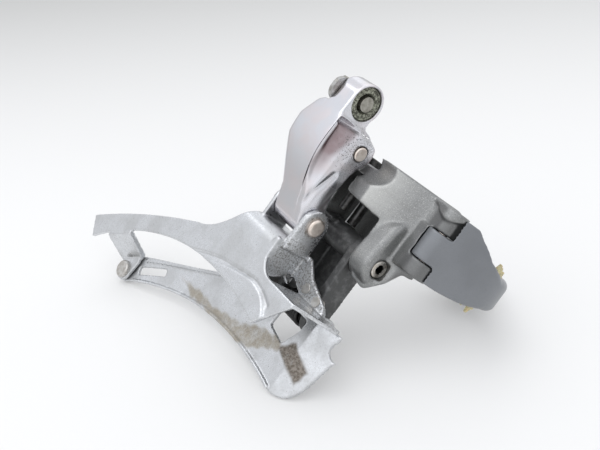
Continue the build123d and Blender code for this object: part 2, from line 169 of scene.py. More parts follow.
def writeAttribute(mesh, name, values):
    attribute = mesh.attributes.new(name, "FLOAT", "POINT")
    attribute.data.foreach_set("value", values.astype(np.float32))


def evenCopy(source, name, spacing):
    # a CAD node's mesh merged, then remeshed at an even spacing in millimetres
    work = bmesh.new()
    work.from_mesh(source.data)
    bmesh.ops.remove_doubles(work, verts=work.verts, dist=1e-6)
    merged = bpy.data.meshes.new(name)
    work.to_mesh(merged)
    work.free()
    piece = bpy.data.objects.new(name, merged)
    bpy.context.scene.collection.objects.link(piece)
    remesh = piece.modifiers.new("spacing", "REMESH")
    remesh.mode = "VOXEL"
    remesh.voxel_size = spacing * mm
    evaluated = piece.evaluated_get(bpy.context.evaluated_depsgraph_get())
    remeshed = bpy.data.meshes.new_from_object(evaluated)
    piece.modifiers.clear()
    piece.data = remeshed
    bpy.data.meshes.remove(merged)
    return piece


def castCopy(node, name, settings, shape=None, marks=None):
    # An even copy of a CAD node, its edges rounded by moving every point towards the mean of its
    # neighbours (and back, so that it doesn't shrink), then shaped by a field over bike
    # coordinates. Convexity is kept as an attribute for wear on edges and for grime and painted shade in
    # hollows.
    source = frame["nodes"][node]
    piece = evenCopy(source, name, settings["spacing"])
    shapedMesh = piece.data
    points = readPoints(shapedMesh)
    edges = np.empty(len(shapedMesh.edges) * 2, int)
    shapedMesh.edges.foreach_get("vertices", edges)
    edges = edges.reshape(-1, 2)
    for step in range(settings["rounding"]):
        points += 0.5 * (neighbourMean(points, edges) - points)
        points -= 0.5 * settings["keepSize"] * (neighbourMean(points, edges) - points)
    shapedMesh.vertices.foreach_set("co", points.ravel())
    shapedMesh.update()
    if shape:
        points = toRow(shape(toBike(points), readNormals(shapedMesh) @ bikeAxes.T))
        for step in range(settings.get("settle", 2)):
            points += 0.5 * (neighbourMean(points, edges) - points)
        shapedMesh.vertices.foreach_set("co", points.ravel())
        shapedMesh.update()
    normals = readNormals(shapedMesh)
    spread = points.copy()
    for step in range(5):
        spread = neighbourMean(spread, edges)
    convexity = np.einsum("ij,ij->i", points - spread, normals) / (settings["spacing"] * mm)
    writeAttribute(shapedMesh, "convexity", convexity)
    for label, values in (marks(toBike(points), normals @ bikeAxes.T) if marks else {}).items():
        writeAttribute(shapedMesh, label, values)
    shapedMesh.polygons.foreach_set("use_smooth", np.ones(len(shapedMesh.polygons), bool))
    shapedMesh.materials.clear()
    shapedMesh.materials.append(settings["material"])
    finishPiece(piece, source["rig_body"], node)
    print("cast", name, len(shapedMesh.polygons), "faces")


class Recipe:
    # a short way to write a node material; every pattern reads Object coordinates or an attribute
    def __init__(self, name):
        self.material = bpy.data.materials.new(name)
        self.material.use_nodes = True
        self.tree = self.material.node_tree
        self.shader = next(n for n in self.tree.nodes if n.type == "BSDF_PRINCIPLED")
        self.place = self.tree.nodes.new("ShaderNodeTexCoord").outputs["Object"]

    def join(self, source, target):
        if isinstance(source, (int, float)):
            target.default_value = source
        elif isinstance(source, tuple):
            target.default_value = source if len(source) == 4 else (*source, 1)
        else:
            self.tree.links.new(source, target)

    def stretched(self, scale, turn):
        node = self.tree.nodes.new("ShaderNodeMapping")
        node.inputs["Scale"].default_value = scale
        node.inputs["Rotation"].default_value = turn
        self.join(self.place, node.inputs["Vector"])
        return node.outputs["Vector"]

    def noise(self, size, detail=3, rough=0.55, place=None, warp=0):
        # size is the width of one patch in millimetres
        node = self.tree.nodes.new("ShaderNodeTexNoise")
        node.inputs["Scale"].default_value = 1 / (size * mm)
        node.inputs["Detail"].default_value = detail
        node.inputs["Roughness"].default_value = rough
        node.inputs["Distortion"].default_value = warp
        self.join(place or self.place, node.inputs["Vector"])
        return node.outputs["Fac"]

    def cells(self, size):
        # distance from the middle of the nearest cell, the cells being size millimetres apart
        node = self.tree.nodes.new("ShaderNodeTexVoronoi")
        node.inputs["Scale"].default_value = 1 / (size * mm)
        self.join(self.place, node.inputs["Vector"])
        return node.outputs["Distance"]

    def attribute(self, name):
        node = self.tree.nodes.new("ShaderNodeAttribute")
        node.attribute_name = name
        return node.outputs["Fac"]

    def math(self, operation, first, second=0.0, clamp=False):
        node = self.tree.nodes.new("ShaderNodeMath")
        node.operation = operation
        node.use_clamp = clamp
        self.join(first, node.inputs[0])
        self.join(second, node.inputs[1])
        return node.outputs["Value"]

    def span(self, value, low, high, out0=0.0, out1=1.0):
        # value from low..high carried to out0..out1 and held at the ends
        node = self.tree.nodes.new("ShaderNodeMapRange")
        node.interpolation_type = "SMOOTHSTEP"
        self.join(value, node.inputs["Value"])
        for label, number in (("From Min", low), ("From Max", high), ("To Min", out0), ("To Max", out1)):
            node.inputs[label].default_value = number
        return node.outputs["Result"]

    def mix(self, share, first, second):
        node = self.tree.nodes.new("ShaderNodeMix")
        node.data_type = "RGBA"
        self.join(share, node.inputs["Factor"])
        self.join(first, node.inputs[6])
        self.join(second, node.inputs[7])
        return node.outputs[2]

    def bump(self, height, depth, strength):
        # depth is the height of the full relief in millimetres
        node = self.tree.nodes.new("ShaderNodeBump")
        node.inputs["Strength"].default_value = strength
        node.inputs["Distance"].default_value = depth * mm
        self.join(height, node.inputs["Height"])
        return node.outputs["Normal"]

    def finish(self, colour, roughness, metallic, normal, **constants):
        self.join(colour, self.shader.inputs["Base Color"])
        self.join(roughness, self.shader.inputs["Roughness"])
        self.join(metallic, self.shader.inputs["Metallic"])
        self.join(normal, self.shader.inputs["Normal"])
        for label, number in constants.items():
            self.shader.inputs[label.replace("_", " ")].default_value = number
        return self.material


steelLook = {
    "clean": (0.64, 0.655, 0.675), "dull": (0.55, 0.56, 0.57), "soil": (0.34, 0.30, 0.235),
    "pitColour": (0.10, 0.09, 0.08), "roughLow": 0.22, "roughHigh": 0.42, "pitSpacing": 1.3,
    "pitSize": 0.13, "edgeShine": (0.84, 0.85, 0.87), "rust_and_shade": (0.13, 0.11, 0.088),
    "rustLight": (0.27, 0.24, 0.21), "grime_and_shade": (0.15, 0.142, 0.128),
}


def cageSteel(name, look):
    # plated steel: cloudy dull patches, fine scratches, dark pits, brown soil where marked
    r = Recipe(name)
    cloud = r.span(r.noise(9, 4), 0.38, 0.66)
    fine = r.noise(0.5, 4, 0.7)
    scratch = r.noise(0.35, 2, 0.5, r.stretched((1, 0.06, 0.06), (0.3, 0.2, 0.9)))
    colour = r.mix(cloud, look["clean"], look["dull"])
    distance = r.cells(look["pitSpacing"])
    patch = r.span(r.noise(6, 2), 0.42, 0.62, 0.15, 1)
    pit = r.span(distance, look["pitSize"], look["pitSize"] * 0.4)
    pit = r.math("MULTIPLY", pit, patch)
    uneven = r.math("ADD", cloud, r.math("MULTIPLY", fine, 0.6))
    roughness = r.span(uneven, 0.2, 1.5, look["roughLow"], look["roughHigh"])
    height = r.math("ADD", r.math("MULTIPLY", scratch, 0.25), r.math("MULTIPLY", fine, 0.25))
    height = r.math("SUBTRACT", height, pit)
    edge = r.span(r.attribute("convexity"), 0.25, 0.8)
    # painted shade: hollows found from convexity are darkened with the grime colour
    hollow = r.span(r.attribute("convexity"), -0.1, -0.7)
    soilPatch = r.span(r.noise(3.0, 5, 0.7, warp=0.4), 0.30, 0.60)
    soilPatch = r.math("ADD", r.math("MULTIPLY", soilPatch, 0.5), 0.35)
    soil = r.math("MULTIPLY", r.attribute("soil"), soilPatch, True)
    # the grime and rust attributes also carry painted shade round the outer plate's pin
    crumbsAndShade = r.span(r.noise(0.55, 4, 0.7), 0.46, 0.60)
    crumbsAndShade = r.math("MULTIPLY", r.attribute("grime_and_shade"), crumbsAndShade, True)
    crumbsAndShade = r.math("MAXIMUM", crumbsAndShade, r.math("MULTIPLY", hollow, 0.6))
    grain = r.noise(0.8, 4, 0.7)
    rustPatch = r.span(r.noise(2.0, 4, 0.6), 0.25, 0.45, 0.6, 1.0)
    rust_and_shade = r.math("MULTIPLY", r.attribute("rust_and_shade"), rustPatch, True)
    rustColour = r.mix(r.span(grain, 0.40, 0.62), look["rust_and_shade"], look["rustLight"])
    colour = r.mix(edge, colour, look["edgeShine"])
    colour = r.mix(pit, colour, look["pitColour"])
    colour = r.mix(soil, colour, look["soil"])
    colour = r.mix(crumbsAndShade, colour, look["grime_and_shade"])
    colour = r.mix(rust_and_shade, colour, rustColour)
    dirt = r.math("MAXIMUM", r.math("MAXIMUM", soil, crumbsAndShade), rust_and_shade)
    height = r.math("ADD", height, r.math("MULTIPLY", rust_and_shade, r.math("MULTIPLY", grain, 6.0)))
    roughness = r.math("ADD", roughness, r.math("MULTIPLY", dirt, 0.35), True)
    metallic = r.math("SUBTRACT", 1.0, r.math("MULTIPLY", dirt, 0.8), True)
    normal = r.bump(height, 0.03, 0.6)
    return r.finish(colour, roughness, metallic, normal)


paintLook = {
    "base": (0.275, 0.279, 0.277), "fleck": (0.72, 0.72, 0.69), "dark": (0.13, 0.132, 0.132),
    "rough": (0.30, 0.46), "grain": 0.34, "sparkle": 0.9, "painted_highlight": 0.5,
}
bandLook = {
    "base": (0.205, 0.215, 0.230), "fleck": (0.27, 0.28, 0.295), "dark": (0.15, 0.155, 0.165),
    "rough": (0.36, 0.44), "grain": 0.22, "sparkle": 0.15, "painted_highlight": 0.1,
}


def metallicPaint(name, look, metal, grainDepth):
    # grey paint full of metal flakes: bright specks, a sandy grain, worn lighter on edges
    r = Recipe(name)
    grain = r.noise(look["grain"], 3, 0.6)
    distance = r.cells(look["grain"] * 0.8)
    speck = r.span(distance, 0.42, 0.12)
    speck = r.math("MULTIPLY", speck, r.span(grain, 0.46, 0.66))
    cloud = r.span(r.noise(14, 3), 0.35, 0.7)
    colour = r.mix(cloud, look["base"], tuple(0.88 * c for c in look["base"]))
    colour = r.mix(r.math("MULTIPLY", speck, look["sparkle"]), colour, look["fleck"])
    colour = r.mix(r.span(grain, 0.48, 0.3, 0, 0.5), colour, look["dark"])
    # painted highlight: the fleck colour is mixed in where the bracket wall's highlight attribute is set
    colour = r.mix(r.math("MULTIPLY", r.attribute("painted_highlight"), look["painted_highlight"]), colour, look["fleck"])
    # painted shade: the dark colour is mixed in where the shade attribute is set
    colour = r.mix(r.math("MULTIPLY", r.attribute("shade"), 0.75), colour, look["dark"])
    colour = r.mix(r.span(r.attribute("convexity"), 0.3, 0.9, 0, 0.35), colour, look["fleck"])
    roughness = r.span(grain, 0.3, 0.7, look["rough"][1], look["rough"][0])
    normal = r.bump(grain, grainDepth, 0.8)
    return r.finish(colour, roughness, metal, normal, Coat_Weight=0.25, Coat_Roughness=0.3)


alloyLook = {
    "cool": (0.63, 0.637, 0.67), "warm": (0.645, 0.61, 0.625), "valleyDark": (0.25, 0.195, 0.20),
    "valleyLight": (0.34, 0.30, 0.31), "pit": (0.14, 0.13, 0.13), "hollow": (0.22, 0.20, 0.20),
    "gap": (0.03, 0.028, 0.025), "rough": (0.13, 0.22), "satinRough": 0.22,
}


def polishedAlloy(name, look):
    # worn polish: faint clouds of haze, hairline rubs, black pits thick round the upper pivot
    r = Recipe(name)
    haze = r.span(r.noise(7, 3), 0.35, 0.7)
    colour = r.mix(haze, look["cool"], look["warm"])
    # painted dark reflection: the darker pinkish valley colours go where the valley attribute is set
    valley = r.mix(haze, look["valleyDark"], look["valleyLight"])
    colour = r.mix(r.attribute("valley"), colour, valley)
    pitting = r.attribute("pitting")
    speck = r.noise(0.42, 2, 0.7)
    threshold = r.math("SUBTRACT", 0.80, r.math("MULTIPLY", pitting, 0.22))
    pit = r.math("GREATER_THAN", speck, threshold)
    colour = r.mix(pit, colour, look["pit"])
    # painted shade: hollows found from convexity are darkened
    hollow = r.span(r.attribute("convexity"), -0.1, -0.8)
    colour = r.mix(r.math("MULTIPLY", hollow, 0.7), colour, look["hollow"])
    # painted shade: near black round the upper pin where the gap attribute is set
    colour = r.mix(r.attribute("gap"), colour, look["gap"])
    rub = r.noise(0.3, 2, 0.5, r.stretched((0.05, 1, 1), (0.2, 0.8, 0.1)))
    satin = r.attribute("satin")
    roughness = r.math("MULTIPLY", satin, look["satinRough"])
    roughness = r.math("ADD", r.span(haze, 0, 1, *look["rough"]), roughness, True)
    sand = r.math("MULTIPLY", r.noise(0.25, 2), r.math("MULTIPLY", satin, 0.8))
    height = r.math("ADD", r.math("MULTIPLY", rub, 0.15), sand)
    height = r.math("SUBTRACT", height, pit)
    return r.finish(colour, roughness, 1.0, r.bump(height, 0.02, 0.6))


turnedLooks = {
    "tarnished_pin": {"base": (0.88, 0.80, 0.73), "tarnish": (0.74, 0.65, 0.58), "rough": 0.34},
    "plated_bolt": {"base": (0.46, 0.46, 0.45), "tarnish": (0.33, 0.32, 0.30), "rough": 0.28},
    "worn_rivet": {"base": (0.60, 0.59, 0.57), "tarnish": (0.44, 0.42, 0.39), "rough": 0.36},
    "dull_bolt_end": {"base": (0.38, 0.37, 0.33), "tarnish": (0.24, 0.23, 0.20), "rough": 0.40},
    # painted shade: the limit screws are made near black
    "shaded_dark_screw": {"base": (0.10, 0.10, 0.10), "tarnish": (0.05, 0.048, 0.045), "rough": 0.36},
    "bronze_screw": {"base": (0.80, 0.78, 0.74), "tarnish": (0.55, 0.50, 0.44), "rough": 0.28},
}
turnedGapShade = (0.02, 0.018, 0.015)


def turnedSteel(name, look):
    # a turned or headed pin: brownish tarnish in blotches over fine marks
    r = Recipe(name)
    blotch = r.span(r.noise(1.6, 4), 0.36, 0.64)
    fine = r.noise(0.18, 3, 0.7)
    # painted shade: near black in the socket and round the head where the gap attribute is set
    colour = r.mix(r.attribute("gap"), r.mix(blotch, look["base"], look["tarnish"]), turnedGapShade)
    roughness = r.span(fine, 0.3, 0.7, look["rough"] - 0.06, look["rough"] + 0.12)
    return r.finish(colour, roughness, 1.0, r.bump(fine, 0.02, 0.5))


zincLook = {"low": (0.06, 0.06, 0.045), "high": (0.36, 0.37, 0.30), "lump": 0.7, "relief": 0.12}


def roughZinc(name, look):
    # lumpy grey-green plating, darker and less metallic where the lumps are low
    r = Recipe(name)
    lump = r.noise(look["lump"], 4, 0.65, warp=0.6)
    colour = r.mix(r.span(lump, 0.40, 0.60), look["low"], look["high"])
    metallic = r.span(lump, 0.40, 0.60, 0.2, 0.9)
    roughness = r.span(lump, 0.4, 0.7, 0.7, 0.36)
    return r.finish(colour, roughness, metallic, r.bump(lump, look["relief"], 0.8))


darkLooks = {
    "dark_grey_link": {"base": (0.085, 0.086, 0.086), "rough": 0.42},
    "black_spring_wire": {"base": (0.03, 0.03, 0.03), "rough": 0.36},
    "black_bush": {"base": (0.02, 0.02, 0.02), "rough": 0.5},
}


def darkPlate(name, look):
    # dark coated steel, dusty in patches of noise
    r = Recipe(name)
    dust = r.span(r.noise(2.5, 5, 0.65), 0.45, 0.75)
    dusty = tuple(2.1 * c + 0.01 for c in look["base"])
    colour = r.mix(dust, look["base"], dusty)
    roughness = r.span(dust, 0, 1, look["rough"], look["rough"] + 0.25)
    return r.finish(colour, roughness, 0.6, r.bump(r.noise(0.3, 3, 0.6), 0.02, 0.4))


tapeLook = {"pale": (0.62, 0.56, 0.34), "deep": (0.46, 0.41, 0.24), "crumb": (0.24, 0.20, 0.12)}


def agedTape(name, look):
    # brittle yellow adhesive tape: streaks, dark specks, a little light through it
    r = Recipe(name)
    streak = r.span(r.noise(1.4, 4, 0.6, warp=0.8), 0.35, 0.65)
    colour = r.mix(streak, look["pale"], look["deep"])
    crumb = r.span(r.noise(0.4, 3), 0.62, 0.72)
    colour = r.mix(crumb, colour, look["crumb"])
    normal = r.bump(r.noise(0.6, 4, 0.6), 0.2, 0.8)
    return r.finish(colour, 0.7, 0.0, normal, Subsurface_Weight=0.15, Subsurface_Scale=0.001)


steel = cageSteel("worn_plated_steel", steelLook)
bracketPaint = metallicPaint("sandy_metallic_grey", paintLook, 0.85, 0.05)
bandPaint = metallicPaint("smooth_slate_grey", bandLook, 0.45, 0.012)
alloy = polishedAlloy("polished_alloy", alloyLook)
turned = {name: turnedSteel(name, look) for name, look in turnedLooks.items()}
dark = {name: darkPlate(name, look) for name, look in darkLooks.items()}
zinc = roughZinc("rough_zinc", zincLook)
tape = agedTape("aged_tape", tapeLook)
print("materials ready")

nodeFinish = {
    "clamp_hinge_pin": turned["tarnished_pin"], "clamp_bolt": turned["plated_bolt"],
    "clamp_bolt_washer": turned["plated_bolt"], "tape_scrap_upper": tape, "tape_scrap_lower": tape,
    # the limit screws are near black as painted shade
    "low_limit_screw": turned["shaded_dark_screw"], "high_limit_screw": turned["shaded_dark_screw"],
    "outer_link_pin": turned["tarnished_pin"], "cable_anchor_insert": zinc,
    "cable_anchor_washer": turned["plated_bolt"], "cable_anchor_bolt": turned["dull_bolt_end"],
    "inner_pivot_screw": turned["bronze_screw"], "return_spring": dark["black_spring_wire"],
    "spring_bush": dark["black_bush"], "cage_outer_pin": turned["tarnished_pin"],
    "cage_outer_pin_clip": dark["black_spring_wire"], "cage_inner_pin": turned["tarnished_pin"],
    "cage_tail_rivet": turned["worn_rivet"], "cage_front_rivets": turned["worn_rivet"],
}
for node, material in nodeFinish.items():
    data = frame["nodes"][node].data
    data.materials.clear()
    data.materials.append(material)

# y and z of the pins that run along x, and how far behind the bore the clamp's hinge is
pins = {
    "upperPivot": (-36.3, 10.7), "lowerPivot": (-36.3, -15.3), "innerPivot": (-22.3, -14.0),
    "anchor": (-41.0, 24.0), "hingeAway": 20.4,
}
bracketCast = {
    "spacing": 0.40, "rounding": 16, "keepSize": 0.7, "ledge": 1.1, "material": bracketPaint,
    "slot": "bracket_paint", "wallFacing": (0.540, -0.842, 0.0),
}
bandCast = {"spacing": 0.36, "rounding": 9, "keepSize": 0.6, "material": bandPaint, "slot": "band_paint"}
linkCast = {
    "spacing": 0.28, "rounding": 14, "keepSize": 0.5, "settle": 10, "material": alloy,
    "slot": "polished_alloy",
    "strap": [(-36.0, 12.0), (-38.4, 4.0), (-38.6, -5.0), (-36.6, -16.0)], "strapHalf": 5.2,
    "crestAt": -47.6, "recess": 3.4, "undercut": 1.3, "crown": 0.05,
    "creases": [[(-40.2, 1.0), (-42.4, -6.0), (-43.6, -12.0)], [(-34.0, -2.0), (-35.6, -9.0)]],
    "rearLine": [(-22, -36.9), (-9.8, -37.0), (-2.5, -41.5), (4, -45.5), (11, -46.0), (17.5, -42.5),
                 (20.5, -37.4)],
    "backLine": [(-17, -41.2), (-7.5, -44.8), (4, -48.3), (14, -48.3), (25, -47.2)],
    "backRound": 3.0,
}
outerPressing = {
    "spacing": 0.34, "rounding": 4, "keepSize": 0.8, "settle": 1, "material": steel,
    "slot": "cage_steel", "grooveDepth": 0.45, "grooveWidth": 0.55,
    "groove": [(-60, -50.2), (-57, -48.2), (-45.8, -43.7), (-38.8, -41.4), (-31, -39.9), (-25, -38.8),
               (-20.3, -38.2), (-13.8, -39.3), (-9.7, -40.9)],
}
innerPressing = {
    "spacing": 0.34, "rounding": 3, "keepSize": 0.8, "material": steel, "slot": "cage_steel",
    "stripe": [(-66, -60.6), (-58.6, -61.3), (-50.8, -60.5), (-42.1, -60.6), (-35, -59.8), (-28.2, -58),
               (-20.6, -55.0), (-11.9, -51.2)],
    "stripeHalf": [(-68, 0.9), (-50, 1.5), (-38, 2.4), (-28, 3.4), (-12, 2.6)],
    "rusty": [(-10.2, -51.6), (2.2, -56.2), (3.4, -51.0), (-5.2, -45.6)],
}
innerLinkCast = {
    "spacing": 0.40, "rounding": 4, "keepSize": 0.7, "material": dark["dark_grey_link"],
    "slot": "link_grey",
}


def fromPin(p, pin):
    # distance from the axis of a pin: the root of dy^2 + dz^2
    return np.hypot(p[:, 1] - pins[pin][0], p[:, 2] - pins[pin][1])


def bracketMarks(p, n):
    # painted highlight on the front wall where it faces along wallFacing; painted shade on the knuckle
    # below the ledge and on the barrel above
    facing = ease(n @ np.array(bracketCast["wallFacing"]), 0.80, 0.97)
    turned = p @ clampAxes.T
    hinge = 1 - ease(np.hypot(turned[:, 0], turned[:, 1] + pins["hingeAway"]), 4.5, 6.0)
    hinge *= ease(ridgeHeight(turned[:, 0]) - turned[:, 2], -0.5, 0.5)
    wall = facing * (1 - hinge) * ease(p[:, 2], -8, 3) * ease(-p[:, 0], 2, 20)
    barrel = 0.4 * ease(p[:, 2], 9.5, 13) * (1 - facing)
    return {"painted_highlight": wall, "shade": np.clip(hinge + barrel, 0, 1)}


def linkMarks(p, n):
    # pits round the upper pivot, a darker pinkish painted reflection beside the strap, painted shade as
    # a dark line round the pin
    eye = fromPin(p, "upperPivot")
    front = ease(p[:, 0], -31, -29) * ease(n[:, 0], 0.05, 0.35)
    pitting = front * (0.75 * (1 - ease(eye, 4, 13)) + 0.2)
    flat = p[:, 1:]
    valley = front * ease(pathDistance(flat, linkCast["strap"]), 4.4, 6.4) * ease(p[:, 2], -8, 7)
    valley *= ease(p[:, 1], -47.4, -46.6) * (1 - ease(p[:, 2], 14.5, 16.5))
    # painted shade: a thin dark ring round the upper pin
    gap = front * np.exp(-((eye - 2.55) / 0.28) ** 2)
    satin = front * (0.6 + 0.4 * valley)
    return {"pitting": np.clip(pitting, 0, 1), "satin": satin, "valley": valley, "gap": gap}


def insideOf(flat, corners):
    # least distance inwards from the sides of a convex outline given anticlockwise
    ends = np.roll(corners, -1, axis=0)
    run = (ends - corners) / np.linalg.norm(ends - corners, axis=1)[:, None]
    inward = [(flat - c) @ np.array((-u[1], u[0])) for c, u in zip(corners, run)]
    return np.min(inward, axis=0)


def outerMarks(p, n):
    # grime in the scoop and on the front ear, painted shade as a dark ring round the pin in the grime
    # and rust colours, soil inside the cage
    low = 1 - ease(p[:, 2], -44, -34)
    inside = ease(n[:, 1], 0.2, 0.9)
    scoop = ease(p[:, 0], -24.0, -23.2) * ease(p[:, 1], -43.0, -41.6) * ease(p[:, 2], -37, -33)
    ear = ease(p[:, 2], -24, -20)
    # painted shade: a dark ring round the lower pin, written into the grime and rust attributes
    gap = np.exp(-((fromPin(p, "lowerPivot") - 3.45) / 0.45) ** 2) * ease(p[:, 0], -22, -20.8)
    grime_and_shade = np.maximum(scoop * (0.75 - 0.5 * ear), 1.4 * gap)
    return {"soil": 0.35 * inside * low, "grime_and_shade": np.clip(grime_and_shade + 0.12, 0, 1), "rust_and_shade": gap * 0.5}


def innerMarks(p, n):
    # brown chain dirt along the rubbed stripe, and a coarse rusty patch ahead of the window
    look = innerPressing
    flat = p[:, (0, 2)]
    outboard = ease(-n[:, 1], 0.1, 0.5)
    half = np.interp(p[:, 0], *zip(*look["stripeHalf"]))
    wander = 0.5 * np.sin(0.37 * p[:, 0]) + 0.3 * np.sin(0.9 * p[:, 0] + 1.3 * p[:, 2])
    fromStripe = pathDistance(flat, look["stripe"]) + wander
    soil = (1 - ease(fromStripe, half - 0.7, half + 0.7)) * ease(p[:, 0], -68, -60)
    rust_and_shade = ease(insideOf(flat, np.array(look["rusty"])) + 0.6 * wander, -0.5, 0.7)
    return {"soil": soil * outboard, "rust_and_shade": rust_and_shade * outboard, "grime_and_shade": 0.12 + 0.2 * soil}


def roundOver(first, second, radius):
    # Two depths below two faces that meet at an edge: points outside the quarter circle that
    # touches both faces are drawn straight in to it. Returns what to add to each depth.
    u = np.maximum(radius - first, 0)
    v = np.maximum(radius - second, 0)
    reach = np.maximum(np.hypot(u, v), 1e-9)
    pull = np.where(reach > radius, 1 - radius / reach, 0)
    return u * pull, v * pull


def linkShape(p, n):
    # The front face falls back from a raised strap that joins the two pivots. The fall is
    # recess * ease(distance from the strap's line), with a bell-shaped undercut along the crest,
    # and the outboard face is crowned by the square of the distance from its middle.
    look = linkCast
    p = p.copy()
    flat = p[:, 1:]
    fromStrap = pathDistance(flat, look["strap"])
    outboard = ease(-p[:, 1], 37.0, 40.0)
    fade = ease(p[:, 2], -13.0, 1.0) * (1 - ease(p[:, 2], 16.0, 18.5))
    front = ease(p[:, 0], -27.5, -24.5)
    beside = ease(fromStrap, look["strapHalf"] - 0.8, look["strapHalf"] + 4.2)
    fall = look["recess"] * beside * outboard * fade
    fall += look["undercut"] * np.exp(-((p[:, 1] - look["crestAt"] - 2.3) / 1.2) ** 2) * fade
    fall += look["crown"] * np.minimum(fromStrap, look["strapHalf"]) ** 2 * (1 - ease(p[:, 2], 16, 18))
    for crease in look["creases"]:
        fall += 0.75 * np.exp(-((pathDistance(flat, crease) / 0.9) ** 2))
    rear = np.interp(p[:, 2], *zip(*look["rearLine"]))
    back = np.interp(p[:, 2], *zip(*look["backLine"]))
    radius = np.maximum(look["backRound"] * ease(p[:, 2], -16, 2), 0.6)
    addX, addY = roundOver(np.maximum(p[:, 0] - rear, 0), np.maximum(p[:, 1] - back, 0), radius)
    middle = (p[:, 0] + 33.5) / 12
    onBack = (1 - ease(p[:, 1] - back, 0.5, 3.5)) * (1 - ease(p[:, 2], 17, 21))
    p[:, 0] += addX - fall * front
    p[:, 1] += addY + 0.8 * middle ** 2 * onBack
    return p


screwCast = {
    "spacing": 0.16, "rounding": 2, "keepSize": 0.8, "material": turned["bronze_screw"],
    "slot": "dark_screw",
}


def screwMarks(p, n):
    # the socket and the seat round the head are painted black as shade
    centre = fromPin(p, "innerPivot")
    socket = (1 - ease(centre, 1.35, 1.7)) * ease(p[:, 0], -6, -4.8)
    return {"gap": np.maximum(socket, ease(centre, 2.8, 3.0))}


tapeCast = {
    "spacing": 0.25, "rounding": 3, "keepSize": 0.6, "settle": 1, "material": tape, "slot": "tape",
}


def tapeShape(p, n):
    # torn edges: the scrap is drawn in along the tube by a jagged wave of the angle round it, and
    # round the tube by a jagged wave of the height, and its skin is wrinkled by a small ripple
    turned = p @ clampAxes.T
    angle = np.arctan2(turned[:, 1], turned[:, 0])
    across = np.hypot(turned[:, 0], turned[:, 1])
    middle = (angle.min() + angle.max()) / 2
    end = np.sign(np.mean(turned[:, 2]))
    ragged = 0.16 + 0.10 * np.sin(21 * angle) + 0.07 * np.sin(53 * angle + 1)
    reach = np.abs(turned[:, 2]).max()
    outer = ease(np.abs(turned[:, 2]), 0.45 * reach, reach)
    corner = ((angle - middle) / np.ptp(angle) * 2) ** 2
    turned[:, 2] -= end * reach * outer * (ragged + 0.16 * corner)
    pinch = 1 - outer * (0.22 + 0.12 * np.sin(2.6 * turned[:, 2]) + 0.07 * np.sin(7.1 * turned[:, 2]))
    angle = middle + (angle - middle) * pinch
    across += 0.10 * (np.sin(34 * angle) * np.sin(1.7 * turned[:, 2]) - 1) * outer
    return np.stack([across * np.cos(angle), across * np.sin(angle), turned[:, 2]], -1) @ clampAxes


def outerShape(p, n):
    # the raised field is set off by a groove: depth * exp(-(distance / width)^2)
    look = outerPressing
    p = p.copy()
    away = pathDistance(p[:, (0, 2)], look["groove"]) / look["grooveWidth"]
    outboard = ease(-n[:, 1], 0.3, 0.8) * (p[:, 1] < -42.5)
    p[:, 1] += look["grooveDepth"] * np.exp(-away ** 2) * outboard
    return p


def ridgeHeight(along):
    # the casting's upper ledge dips in the middle of the knuckle and rises at both ends
    return 10.2 + 1.4 * np.clip((along + 0.8) / 4.4, -1.3, 1.1) ** 2


def bracketShape(p, n):
    # below the ledge the upper knuckle is drawn in towards the hinge's axis
    turned = p @ clampAxes.T
    aside = np.stack([turned[:, 0], turned[:, 1] + pins["hingeAway"]], -1)
    reach = np.linalg.norm(aside, axis=1)
    below = ease(ridgeHeight(turned[:, 0]) - turned[:, 2], 0.0, 1.0) * ease(turned[:, 2], 5.6, 5.9)
    outer = ease(-turned[:, 1], 19.0, 21.5) * (reach < 11)
    drawnIn = bracketCast["ledge"] * below * outer / np.maximum(reach, 1)
    turned[:, :2] -= aside * drawnIn[:, None]
    return turned @ clampAxes


def bandShape(p, n):
    # the ring's outer rims are rounded over, more at the far side than beside the hinge
    p = p.copy()
    turned = p @ clampAxes.T
    across = np.hypot(turned[:, 0], turned[:, 1])
    away = ease(turned[:, 1], -22, 6)
    top = np.interp(turned[:, 1], (-18.5, -12, -4), (13.4, 7.8, 5.0))
    low = np.interp(turned[:, 1], (-18.5, -12, -4), (-9.5, -8.2, -6.5))
    radius = 1.2 + 1.6 * away
    fromOuter = np.maximum(19.5 - across, 0)
    inTop, downTop = roundOver(fromOuter, np.maximum(top - turned[:, 2], 0), radius)
    inLow, upLow = roundOver(fromOuter, np.maximum(turned[:, 2] - low, 0), radius)
    ring = ease(across, 15.9, 17.2) * (turned[:, 1] < 19)
    shrink = 1 - (inTop + inLow) * ring / np.maximum(across, 1)
    turned[:, 0] *= shrink
    turned[:, 1] *= shrink
    turned[:, 2] += (upLow - downTop) * ring
    return turned @ clampAxes


castCopy("bracket_body", "bracket_casting", bracketCast, shape=bracketShape, marks=bracketMarks)
castCopy("clamp_band", "band_casting", bandCast, shape=bandShape)
castCopy("outer_link", "outer_link_forging", linkCast, shape=linkShape, marks=linkMarks)
castCopy("cage_outer_plate", "outer_plate_pressing", outerPressing, shape=outerShape, marks=outerMarks)
castCopy("cage_inner_plate", "inner_plate_pressing", innerPressing, marks=innerMarks)
castCopy("inner_link", "inner_link_casting", innerLinkCast)
castCopy("inner_pivot_screw", "socket_screw", screwCast, marks=screwMarks)
castCopy("tape_scrap_upper", "torn_tape_upper", tapeCast, shape=tapeShape)
castCopy("tape_scrap_lower", "torn_tape_lower", tapeCast, shape=tapeShape)

